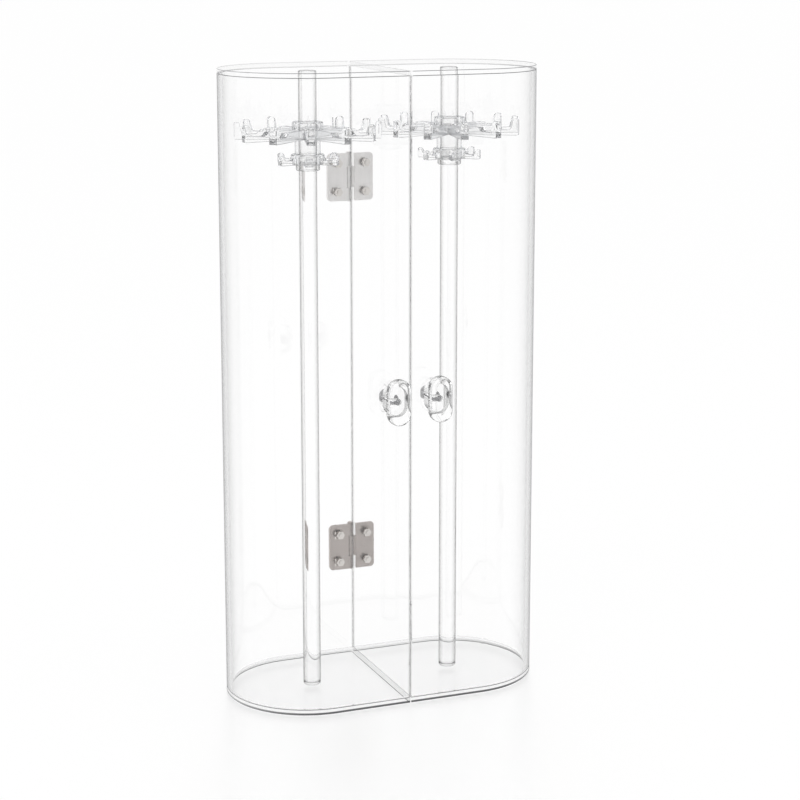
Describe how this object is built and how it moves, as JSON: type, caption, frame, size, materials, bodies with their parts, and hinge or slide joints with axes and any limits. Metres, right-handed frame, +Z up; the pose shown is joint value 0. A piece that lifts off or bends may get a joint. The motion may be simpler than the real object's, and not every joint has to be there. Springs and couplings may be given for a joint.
{
  "type": "jewelry storage box",
  "caption": "Upright clear acrylic necklace case with an obround plan, split by a seam into hinged shells with knobs; a turning hook wheel on a post hangs chains in each.",
  "frame": {"origin": "middle of the closed case's footprint, on the surface that it stands on", "axes": "+Z up along the posts; +X to the right along the case, seen from the knobs' side; +Y to the back, towards the hinges"},
  "size_m": [0.165, 0.1042, 0.32],
  "materials": {
    "clear_sheet": "polished",
    "clear_rod": "polished",
    "clear_moulding": "polished",
    "hinge_steel": "satin",
    "screw_steel": "satin"
  },
  "bodies": {
    "left_shell": {"left_wall": "clear_sheet", "left_top_plate": "clear_sheet", "left_base_plate": "clear_sheet", "left_post": "clear_rod", "left_stop_collar": "clear_rod", "left_knob": "clear_moulding", "left_knob_screw": "screw_steel", "left_hinge_screws": "screw_steel", "left_hinge_nuts": "screw_steel", "upper_hinge_left_leaf": "hinge_steel", "lower_hinge_left_leaf": "hinge_steel", "upper_hinge_pin": "hinge_steel", "lower_hinge_pin": "hinge_steel"},
    "right_shell": {"right_wall": "clear_sheet", "right_top_plate": "clear_sheet", "right_base_plate": "clear_sheet", "right_post": "clear_rod", "right_stop_collar": "clear_rod", "right_knob": "clear_moulding", "right_knob_screw": "screw_steel", "right_hinge_screws": "screw_steel", "right_hinge_nuts": "screw_steel", "upper_hinge_right_leaf": "hinge_steel", "lower_hinge_right_leaf": "hinge_steel"},
    "left_hook_wheel": {"left_upper_hook_wheel": "clear_moulding", "left_lower_hook_wheel": "clear_moulding"},
    "right_hook_wheel": {"right_upper_hook_wheel": "clear_moulding", "right_lower_hook_wheel": "clear_moulding"}
  },
  "joints": [
    {"name": "shell_hinge", "type": "hinge", "parent": "left_shell", "child": "right_shell", "pos_m": [0, 0.04481, 0.16], "axis": [0, 0, 1], "range_deg": [0, 180]},
    {"name": "left_wheel_spin", "type": "hinge", "parent": "left_shell", "child": "left_hook_wheel", "pos_m": [-0.038, 0, 0.283], "axis": [0, 0, 1], "continuous": true},
    {"name": "right_wheel_spin", "type": "hinge", "parent": "right_shell", "child": "right_hook_wheel", "pos_m": [0.038, 0, 0.283], "axis": [0, 0, 1], "continuous": true}
  ]
}
